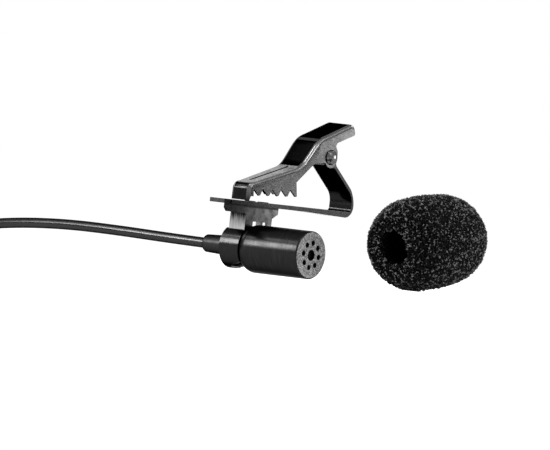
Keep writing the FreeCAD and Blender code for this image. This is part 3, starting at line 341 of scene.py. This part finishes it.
# radius and height of the turns at t turns from the start: each sidestep and each climb is a smooth
# ramp a sixth of a turn long, and each layer makes them a sixth of a turn earlier than the one below
def coilLine():
    count = int(coil["turns"] * coil["pointsPerTurn"])
    t = (np.arange(count) + 0.5) / coil["pointsPerTurn"]
    radius = np.full(count, coil["outerTurn"])
    height = np.full(count, coil["bottom"])
    for row in range(coil["rows"]):
        outwards = 1 if row % 2 else -1
        for column in range(coil["columns"] - 1):
            start = row * coil["columns"] + column + (coil["stepAfter"] - row) * coil["ramp"]
            radius += outwards * coil["step"] * easeStep((t - start) / coil["ramp"])
        if row < coil["rows"] - 1:
            start = (row + 1) * coil["columns"] - 1 + (coil["climbAfter"] - row) * coil["ramp"]
            height += coil["layer"] * easeStep((t - start) / coil["ramp"])
    angle = math.pi / 2 + 2 * math.pi * t
    reach = radius / math.cos(math.pi / coil["pointsPerTurn"])  # the line cuts inside its points
    x, y = coil["middle"]
    return np.stack([x + reach * np.cos(angle), y + reach * np.sin(angle), height], 1)


# a round tube on one smooth spline through the free run, the coil and the tail
def makeCord():
    route = np.concatenate([np.array(freeRun), coilLine(), np.array(tail)]) * mm
    line = bpy.data.curves.new("cordLine", "CURVE")
    line.dimensions = "3D"
    spline = line.splines.new("NURBS")
    spline.points.add(len(route) - 1)
    spline.points.foreach_set("co", np.concatenate([route, np.ones((len(route), 1))], 1).ravel())
    spline.order_u = 3
    spline.use_endpoint_u = True
    line.resolution_u = cordSizes["stepsPerPoint"]
    line.bevel_depth = cordSizes["radius"] * mm
    line.bevel_resolution = cordSizes["roundness"]
    line.use_fill_caps = True
    line.materials.append(materials["cord_jacket"])
    piece = linkNew("micCord", line)
    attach(piece, "microphone")
    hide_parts("cord", "cord_coil", "cord_tail")
    return piece


cord = makeCord()
print("cord laid")


# windscreen: a round-ended roll of open-celled foam with a blind bore, leaning mouth down. Sizes are in mm,
# tilt is in degrees and swell is a share of the radius; overhang is how far its rear passes the solid's
windscreen = {"straight": 9.4, "overhang": 0.9, "mouth": 5.2, "bore": 3.1, "lip": 3.0, "depth": 13.4,
              "endWidth": 2.2, "endTaper": 0.8, "endPoint": 1.5, "softEdge": 0.8, "tilt": 9.25,
              "domePoints": 60, "frontPoints": 40, "spacing": 0.11, "boreSpacing": 0.4, "around": 440,
              "swell": 0.035, "swellRadius": 4.0, "fullest": -1.2, "fullestReach": 5.0, "seed": 7}
mouthEnd = -windscreen["straight"] / 2 - windscreen["mouth"]  # along the axis, from the roll's middle

# foam: pit, sink, knot, dent and rag are heights in mm, strutWidth, knotWidth and luckSize are shares of a
# cell, and shadeFrom and shadeReach say where the bore is painted black as shade
foam = {"cell": 0.46, "pit": 0.3, "strutWidth": 0.42, "sink": 0.12, "knot": 0.26, "knotWidth": 0.4,
        "luckSize": 0.8, "luckFrom": 0.3, "luckReach": 0.4, "dent": 0.12, "dentSize": 2.4,
        "rag": 0.9, "ragSize": 1.0, "ragFrom": 0.3, "ragReach": 1.6, "shadeFrom": 0.2, "shadeReach": 2.5,
        "lattice": 32}
# cell colour is painted shade in the pits, strut colour is the foam's own, knot colour gives painted glints
# where struts meet
foamLook = {"cell": grey(0.001), "strut": (0.007, 0.007, 0.0071), "knot": (0.25, 0.25, 0.251),
            "strutLow": 0.05, "strutHigh": 0.6, "knotLow": 0.3, "knotHigh": 0.95, "grain": 0.2,
            "height": 0.1, "rough": 0.6, "shine": 0.03}


# distances to the three nearest of the random points that stand one in each cell of a cubic lattice
def cellDistances(points, size, seed):
    lattice = foam["lattice"]
    spots = np.random.default_rng(seed).random((lattice, lattice, lattice, 3))
    scaled = points / size
    home = np.floor(scaled).astype(int)
    first, second, third = (np.full(len(points), np.inf) for _ in range(3))
    for step in np.ndindex(3, 3, 3):
        cell = home + np.array(step) - 1
        spot = cell + spots[tuple((cell % lattice).T)]
        away = np.linalg.norm(scaled - spot, axis=1)
        third = np.minimum(third, np.maximum(second, away))
        second = np.minimum(second, np.maximum(first, away))
        first = np.minimum(first, away)
    return first, second, third


# smooth noise: values at lattice corners, blended with 3t^2 - 2t^3 along each axis
def softNoise(points, size, seed):
    lattice = foam["lattice"]
    values = np.random.default_rng(seed).random((lattice, lattice, lattice))
    scaled = points / size
    home = np.floor(scaled).astype(int)
    t = easeStep(scaled - home)
    total = np.zeros(len(points))
    for corner in np.ndindex(2, 2, 2):
        share = np.prod(np.where(np.array(corner) == 1, t, 1 - t), axis=1)
        total += share * values[tuple(((home + corner) % lattice).T)]
    return total


# points every spacing along a run of straight lines
def alongLine(stops, spacing):
    stops = np.array(stops, float)
    lengths = np.linalg.norm(np.diff(stops, axis=0), axis=1)
    at = np.concatenate([[0], np.cumsum(lengths)])
    even = np.linspace(0, at[-1], max(2, int(at[-1] / spacing)))
    return np.stack([np.interp(even, at, stops[:, k]) for k in range(2)], 1)


# profile from the rear pole over the roll, round the mouth and down the bore, as r from the axis and s along
# it; each corner is averaged over softEdge to both sides, and the roll's radius then grows by the share
# swell (1 - ((s - fullest) / fullestReach)^2)
def windscreenProfile(radius):
    half = windscreen["straight"] / 2
    bore = windscreen["bore"]
    floor = mouthEnd + windscreen["depth"]
    dome = np.linspace(0, math.pi / 2, windscreen["domePoints"])
    mouthAngle = math.pi / 2 + math.asin(windscreen["mouth"] / radius)
    front = np.linspace(math.pi / 2, mouthAngle, windscreen["frontPoints"])
    outside = np.concatenate([
        np.stack([radius * np.sin(dome), half + radius * np.cos(dome)], 1),
        np.stack([radius * np.sin(front), -half + radius * np.cos(front)], 1),
        [(bore, mouthEnd), (bore, mouthEnd + windscreen["lip"])]])
    inside = [(bore, mouthEnd + windscreen["lip"]), (bore, floor - windscreen["endTaper"]),
              (windscreen["endWidth"], floor + windscreen["endTaper"]), (0, floor + windscreen["endPoint"])]
    line = alongLine(outside, windscreen["spacing"])
    width = int(windscreen["softEdge"] / windscreen["spacing"])
    window = np.hanning(2 * width + 3)[1:-1]
    window /= window.sum()
    before = line[width:0:-1] * [-1, 1]  # the line, mirrored past the pole
    after = 2 * line[-1] - line[-2:-width - 2:-1]  # and carried on straight past its last point
    extended = np.concatenate([before, line, after])
    soft = np.stack([np.convolve(extended[:, k], window, "valid") for k in range(2)], 1)
    fullness = 1 - ((soft[:, 1] - windscreen["fullest"]) / windscreen["fullestReach"]) ** 2
    soft[:, 0] *= 1 + windscreen["swell"] * fullness * easeStep(soft[:, 0] / windscreen["swellRadius"])
    soft[0, 0] = 0
    return np.concatenate([soft, alongLine(inside, windscreen["boreSpacing"])[1:]])


# point = middle + axis s + r (cos a, sin a) square to the axis; its normal is the profile's, turned with it
def turnedSurface(profile, middle, axis):
    sideways = np.array([1, 0, 0])
    upright = np.cross(sideways, axis)
    slope = np.gradient(profile, axis=0)
    slope /= np.linalg.norm(slope, axis=1, keepdims=True)
    around = windscreen["around"]
    angle = 2 * math.pi * np.arange(around) / around
    spoke = np.cos(angle)[:, None] * sideways + np.sin(angle)[:, None] * upright
    points = middle + profile[:, None, :1] * spoke + profile[:, None, 1:] * axis
    normals = -slope[:, None, 1:] * spoke + slope[:, None, :1] * axis
    return points.reshape(-1, 3), normals.reshape(-1, 3)


# hollow = smooth step of the gap between the two nearest cell points; knot = smooth step where the third
# is as near, in lucky places; height = knots - pits - sink, with soft dents, and rags near the mouth's rim
def foamRelief(points, nearRim):
    seed = windscreen["seed"]
    nearest, second, third = cellDistances(points, foam["cell"], seed)
    hollow = easeStep((second - nearest) / foam["strutWidth"])
    luck = softNoise(points, foam["cell"] * foam["luckSize"], seed + 1)
    luck = easeStep((luck - foam["luckFrom"]) / foam["luckReach"])
    knot = easeStep(1 - (third - nearest) / foam["knotWidth"]) * luck
    dents = softNoise(points, foam["dentSize"], seed) - 0.5
    rags = softNoise(points, foam["ragSize"], seed + 2) - 0.5
    height = (foam["knot"] * knot - foam["pit"] * hollow - foam["sink"]
              + foam["dent"] * dents + foam["rag"] * rags * nearRim)
    return hollow, knot, height


# faces of a grid closed round and at its poles: the last point of the first row and the first point of the
# last row move to their row's middle and stand for it
def closedFaces(points, rows, around):
    grid = np.arange(rows * around).reshape(rows, around)
    nextColumn = np.roll(grid, -1, axis=1)
    quads = np.stack([grid[1:-2], nextColumn[1:-2], nextColumn[2:-1], grid[2:-1]], -1).reshape(-1, 4)
    firstPole, lastPole = around - 1, (rows - 1) * around
    points[firstPole] = points[:around].mean(0)
    points[lastPole] = points[-around:].mean(0)
    caps = np.concatenate([np.stack([np.full(around, firstPole), nextColumn[1], grid[1]], 1),
                           np.stack([np.full(around, lastPole), grid[-2], nextColumn[-2]], 1)])
    faces = (quads - firstPole).tolist() + (caps - firstPole).tolist()
    return slice(firstPole, lastPole + 1), faces


# painted shade: black in the cells and down the bore; near black on the struts; painted glints: light specks
# where struts meet
def foamFinish():
    made = Finish("openCellFoam")
    wall = made.spread(made.attribute("hollow"), foamLook["strutLow"], foamLook["strutHigh"], 1.0, 0.0)
    # painted glints: light specks where struts meet
    paintedGlint = made.spread(made.attribute("knot"), foamLook["knotLow"], foamLook["knotHigh"])
    body = made.blend(wall, foamLook["cell"], foamLook["strut"])
    specked = made.blend(paintedGlint, body, foamLook["knot"])
    made.colourFrom(made.blend(made.attribute("paintedBoreShade"), specked, foamLook["cell"]))
    made.bump(made.noise(foamLook["grain"]), foamLook["height"])
    made.set(Roughness=foamLook["rough"], Specular_IOR_Level=foamLook["shine"])
    return made.material


# the profile turned about the axis, each point moved along its normal by the foam's height there
def makeWindscreen():
    low, high = (np.array(corner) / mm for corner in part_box("windscreen"))
    tilt = radians(windscreen["tilt"])
    radius = (high[0] - low[0]) / 2
    half = windscreen["straight"] / 2
    rear = high[1] + windscreen["overhang"] - radius
    middle = np.array([(low[0] + high[0]) / 2, rear - half * math.cos(tilt),
                       low[2] + radius + half * math.sin(tilt)])
    axis = np.array([0, math.cos(tilt), math.sin(tilt)])
    profile = windscreenProfile(radius)
    rows, around = len(profile), windscreen["around"]
    points, normals = turnedSurface(profile, middle, axis)
    fromRim = np.hypot(profile[:, 0] - windscreen["bore"], profile[:, 1] - mouthEnd)
    nearRim = np.repeat(1 - easeStep((fromRim - foam["ragFrom"]) / foam["ragReach"]), around)
    # the bore is painted black as shade, more the deeper past the rim
    pastRim = np.arange(rows) > np.argmin(profile[:, 1])
    deep = easeStep((profile[:, 1] - mouthEnd - foam["shadeFrom"]) / foam["shadeReach"])
    paintedBoreShade = np.repeat(deep * pastRim, around)
    hollow, knot, height = foamRelief(points, nearRim)
    points = points + normals * height[:, None]
    kept, faces = closedFaces(points, rows, around)
    mesh = bpy.data.meshes.new("windscreenFoam")
    mesh.from_pydata((points[kept] * mm).tolist(), [], faces)
    mesh.polygons.foreach_set("use_smooth", np.ones(len(faces), bool))
    # these carry the painted shade of the cells and the bore and the painted glints on the knots
    for name, values in (("hollow", hollow), ("knot", knot * (1 - paintedBoreShade)), ("paintedBoreShade", paintedBoreShade)):
        mesh.attributes.new(name, "FLOAT", "POINT").data.foreach_set("value", values[kept].astype(np.float32))
    mesh.materials.append(foamFinish())
    piece = linkNew("windscreenFoam", mesh)
    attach(piece, "foam")
    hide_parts("windscreen")


makeWindscreen()
print("windscreen made")


bodyOf = {node: body for body, members in frame["record"]["behaviour"]["bodies"].items() for node in members}
slotOf = {part["node"]: part["material_slot"] for part in frame["record"]["subparts"]}

# solids that get a surface of their own, with the width of its corners' rounding in mm, where 0 is none
edgeWidths = {"barrel_tube": 0.08, "front_grille": 0.05, "rear_neck": 0.08, "strain_relief": 0.15,
              "clip_plate": 0.2, "clip_holder": 0.06, "holder_stakes": 0.04, "pivot_rivet": 0.05,
              "jaw": 0.08, "torsion_spring": 0, "cord_tie": 0.08, "plug_relief": 0.1,
              "plug_body": 0.12, "plug_sleeve": 0.05, "plug_ring_2": 0.03, "plug_ring_1": 0.03,
              "plug_tip": 0.05, "plug_insulator": 0.02}

# how a surface is joined and rounded: weld is in mm, flatBelow and sharpAbove are angles in degrees
rounding = {"weld": 0.0005, "flatBelow": 0.8, "sharpAbove": 33.0, "segments": 2}


# a solid's own surface, its loose triangles joined and flat ones merged
def joinedCopy(node):
    mesh = frame["nodes"][node].data.copy()
    shape = bmesh.new()
    shape.from_mesh(mesh)
    bmesh.ops.remove_doubles(shape, verts=shape.verts, dist=rounding["weld"] * mm)
    bmesh.ops.dissolve_limit(shape, angle_limit=radians(rounding["flatBelow"]), verts=shape.verts,
                             edges=shape.edges, use_dissolve_boundaries=False)
    shape.to_mesh(mesh)
    shape.free()
    for layer in list(mesh.uv_layers):
        mesh.uv_layers.remove(layer)
    if "custom_normal" in mesh.attributes:
        mesh.attributes.remove(mesh.attributes["custom_normal"])
    mesh.polygons.foreach_set("use_smooth", np.ones(len(mesh.polygons), bool))
    mesh.set_sharp_from_angle(angle=radians(rounding["sharpAbove"]))
    return mesh


# a piece that stands for a solid: its joined surface with its sharp corners slightly rounded
def finishedSolid(node, width):
    mesh = joinedCopy(node)
    mesh.materials.clear()
    mesh.materials.append(materials[slotOf[node]])
    piece = linkNew(node + "Surface", mesh)
    if width:
        edges = piece.modifiers.new("roundedEdges", "BEVEL")
        edges.width = width * mm
        edges.segments = rounding["segments"]
        edges.limit_method = "ANGLE"
        edges.angle_limit = radians(rounding["sharpAbove"])
        edges.harden_normals = True
    if node == "torsion_spring":  # baked where it stands and not attached to a body: its lower leg sits on the arm, its upper leg on the lever
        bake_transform(piece)
    else:
        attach(piece, bodyOf[node])
    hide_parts(node)
    return piece


surfaces = {node: finishedSolid(node, width) for node, width in edgeWidths.items()}
print("solids finished:", len(surfaces))


# each face's middle x, y, z in mm and its direction nx, ny, nz, as whole arrays
def facesOf(node):
    faces = surfaces[node].data.polygons
    middle, facing = np.empty(len(faces) * 3), np.empty(len(faces) * 3)
    faces.foreach_get("center", middle)
    faces.foreach_get("normal", facing)
    x, y, z = middle.reshape(-1, 3).T / mm
    nx, ny, nz = facing.reshape(-1, 3).T
    return SimpleNamespace(x=x, y=y, z=z, nx=nx, ny=ny, nz=nz)


# the chosen faces get one more material of the same slot
def paintFaces(node, finish, chosen):
    mesh = surfaces[node].data
    index = np.empty(len(mesh.polygons), np.int32)
    mesh.polygons.foreach_get("material_index", index)
    index[chosen] = len(mesh.materials)
    mesh.materials.append(materials[finish])
    mesh.polygons.foreach_set("material_index", index)


# zones: limits on a face's direction are plain numbers, limits on its place are in mm
jawZones = {"side": 0.97, "shoulder": 0.12, "top": 0.85, "ridgeEnd": 11.2,
            "crestSteepest": 0.76, "crestFlattest": 0.86, "crestFrom": 14.5, "crestAbove": 18.5}
plateZones = {"edge": 0.5, "end": 0.7, "endBefore": -4.0, "endBelow": 9.0}
holderZones = {"across": 0.5, "strapLow": 2.9, "strapHigh": 6.5, "ringWithin": 5.2}
grilleZones = {"holesWithin": 3.3, "holeWall": 0.4}


# gunmetal sides, rounded shoulders lighter as a painted highlight, streaked ridges lighter as a painted
# highlight as far as the steep part, a crest lighter as a painted highlight
def paintJaw():
    face, zone = facesOf("jaw"), jawZones
    across = abs(face.nx)
    paintFaces("jaw", "gunmetal", across > zone["side"])
    rounded = (across > zone["shoulder"]) & (across < zone["side"])
    # the rounded shoulders facing up get lighter steel as a painted highlight
    paintFaces("jaw", "shoulder_painted_highlight", rounded & (face.nz > 0))
    # the ridge top as far as the steep part gets lighter steel as a painted highlight
    paintFaces("jaw", "ridge_grain_and_painted_highlight", (face.nz > zone["top"]) & (face.y < zone["ridgeEnd"]))
    crest = (face.nz > zone["crestSteepest"]) & (face.nz < zone["crestFlattest"])
    # the crest gets lighter steel as a painted highlight
    paintFaces("jaw", "crest_and_tip_painted_highlight", crest & (face.y > zone["crestFrom"]) & (face.z > zone["crestAbove"]))


# sheared long edges, an end painted lighter as a painted highlight, and worn corners from the rounding itself
def paintPlate():
    face, zone = facesOf("clip_plate"), plateZones
    paintFaces("clip_plate", "sheared_edge", abs(face.nx) > zone["edge"])
    tip = (face.y < zone["endBefore"]) & (face.z < zone["endBelow"])
    # the plate's end gets lighter steel as a painted highlight
    paintFaces("clip_plate", "crest_and_tip_painted_highlight", tip & (face.ny < -zone["end"]))
    plate = surfaces["clip_plate"]
    plate.modifiers["roundedEdges"].material = len(plate.data.materials)
    plate.data.materials.append(materials["worn_edge"])


# mottled web and cut edges with painted shade, a brushed strap with painted highlight and shade, a plain ring
def paintHolder():
    face, zone = facesOf("clip_holder"), holderZones
    paintFaces("clip_holder", "mottled_web_painted_shade", abs(face.nx) > zone["across"])
    upright = (face.z > zone["strapLow"]) & (face.z < zone["strapHigh"])
    paintFaces("clip_holder", "brushed_strap_painted_light", upright & (face.ny < -zone["across"]))
    ring = (np.hypot(face.y, face.z) < zone["ringWithin"]) & (face.z < zone["strapLow"])
    paintFaces("clip_holder", "ring_steel", ring & (abs(face.nx) < zone["across"]))


# painted shade: near-black walls in the holes
def paintGrille():
    face, zone = facesOf("front_grille"), grilleZones
    holes = np.hypot(face.y, face.z) < zone["holesWithin"]
    paintFaces("front_grille", "hole_wall_painted_shade", holes & (abs(face.nx) < zone["holeWall"]))


paintJaw()
paintPlate()
paintHolder()
paintGrille()
print("faces painted")

# the other solids keep their own surface and get their slot's finish
for node, piece in frame["nodes"].items():
    if node in edgeWidths or node in ("cord", "cord_coil", "cord_tail", "windscreen"):
        continue
    piece.data.materials.clear()
    piece.data.materials.append(materials[slotOf[node]])


# floor, world and lamps: lengths are in mm, angles in degrees, and 1 is the level of plain white
studio = {"floorHeight": -4.15, "floorSize": 12000.0, "floorColour": 0.8, "floorGlow": 0.84,
          "ambient": 0.24, "lampDistance": 400.0}
lamps = {
    "frontLeft": {"azimuth": -42, "elevation": 21, "wide": 55, "high": 130, "radiance": 50.0},
    "frontHigh": {"azimuth": -54, "elevation": 40, "wide": 60, "high": 60, "radiance": 12.0},
    "noseGlint": {"azimuth": -88, "elevation": 24, "wide": 45, "high": 40, "radiance": 55.0},
    "backRight": {"azimuth": 149, "elevation": 4, "wide": 150, "high": 100, "radiance": 16.0},
    "topFront": {"azimuth": 34, "elevation": 66, "wide": 70, "high": 45, "radiance": 30.0},
    "sideRight": {"azimuth": 104, "elevation": 27, "wide": 100, "high": 45, "radiance": 20.0},
    "highBack": {"azimuth": 172, "elevation": 36, "wide": 160, "high": 55, "radiance": 16.0},
    "highRight": {"azimuth": 103, "elevation": 50, "wide": 400, "high": 45, "radiance": 6.0},
}


# 1 where the camera, a reflection or clear matter looks, else 0
def lookedAt(tree):
    path = tree.nodes.new("ShaderNodeLightPath")
    seen = path.outputs["Is Camera Ray"]
    for ray in ("Is Glossy Ray", "Is Transmission Ray"):
        either = tree.nodes.new("ShaderNodeMath")
        either.operation = "MAXIMUM"
        tree.links.new(seen, either.inputs[0])
        tree.links.new(path.outputs[ray], either.inputs[1])
        seen = either.outputs[0]
    return seen


# a matt square under the object that also glows where it is looked at
def makeFloor():
    half = studio["floorSize"] / 2 * mm
    z = studio["floorHeight"] * mm
    mesh = bpy.data.meshes.new("floor")
    corners = [(-half, -half, z), (half, -half, z), (half, half, z), (-half, half, z)]
    mesh.from_pydata(corners, [], [(0, 1, 2, 3)])
    floor = linkNew("floor", mesh)
    material = bpy.data.materials.new("paleFloor")
    material.use_nodes = True
    tree = material.node_tree
    tree.nodes.remove(tree.nodes["Principled BSDF"])
    matt = tree.nodes.new("ShaderNodeBsdfDiffuse")
    matt.inputs["Color"].default_value = (*grey(studio["floorColour"]), 1)
    glow = tree.nodes.new("ShaderNodeEmission")
    level = tree.nodes.new("ShaderNodeMath")
    level.operation = "MULTIPLY"
    level.inputs[1].default_value = studio["floorGlow"]
    both = tree.nodes.new("ShaderNodeAddShader")
    tree.links.new(lookedAt(tree), level.inputs[0])
    tree.links.new(level.outputs[0], glow.inputs["Strength"])
    tree.links.new(matt.outputs[0], both.inputs[0])
    tree.links.new(glow.outputs[0], both.inputs[1])
    tree.links.new(both.outputs[0], tree.nodes["Material Output"].inputs["Surface"])
    mesh.materials.append(material)


# white where it is looked at, the ambient level elsewhere
def makeWorld():
    world = bpy.data.worlds.new("studio")
    world.use_nodes = True
    bpy.context.scene.world = world
    tree = world.node_tree
    level = tree.nodes.new("ShaderNodeMapRange")
    level.inputs["To Min"].default_value = studio["ambient"]
    level.inputs["To Max"].default_value = 1.0
    tree.links.new(lookedAt(tree), level.inputs["Value"])
    tree.nodes["Background"].inputs["Color"].default_value = (1, 1, 1, 1)
    tree.links.new(level.outputs["Result"], tree.nodes["Background"].inputs["Strength"])


# flat lamps that face the camera's target, with watts = pi x radiance x area
def makeLamps():
    target = Vector(camera["target"]) * mm
    for name, lamp in lamps.items():
        data = bpy.data.lights.new(name, "AREA")
        data.shape = "RECTANGLE"
        data.size = lamp["wide"] * mm
        data.size_y = lamp["high"] * mm
        data.energy = math.pi * lamp["radiance"] * data.size * data.size_y
        away = directionAt(lamp["azimuth"], lamp["elevation"])
        holder = linkNew(name, data)
        holder.location = target + away * studio["lampDistance"] * mm
        holder.rotation_euler = away.to_track_quat("Z", "Y").to_euler()
        holder.visible_camera = False


makeFloor()
makeWorld()
makeLamps()
bpy.context.scene.view_settings.view_transform = "Standard"
print("studio ready")
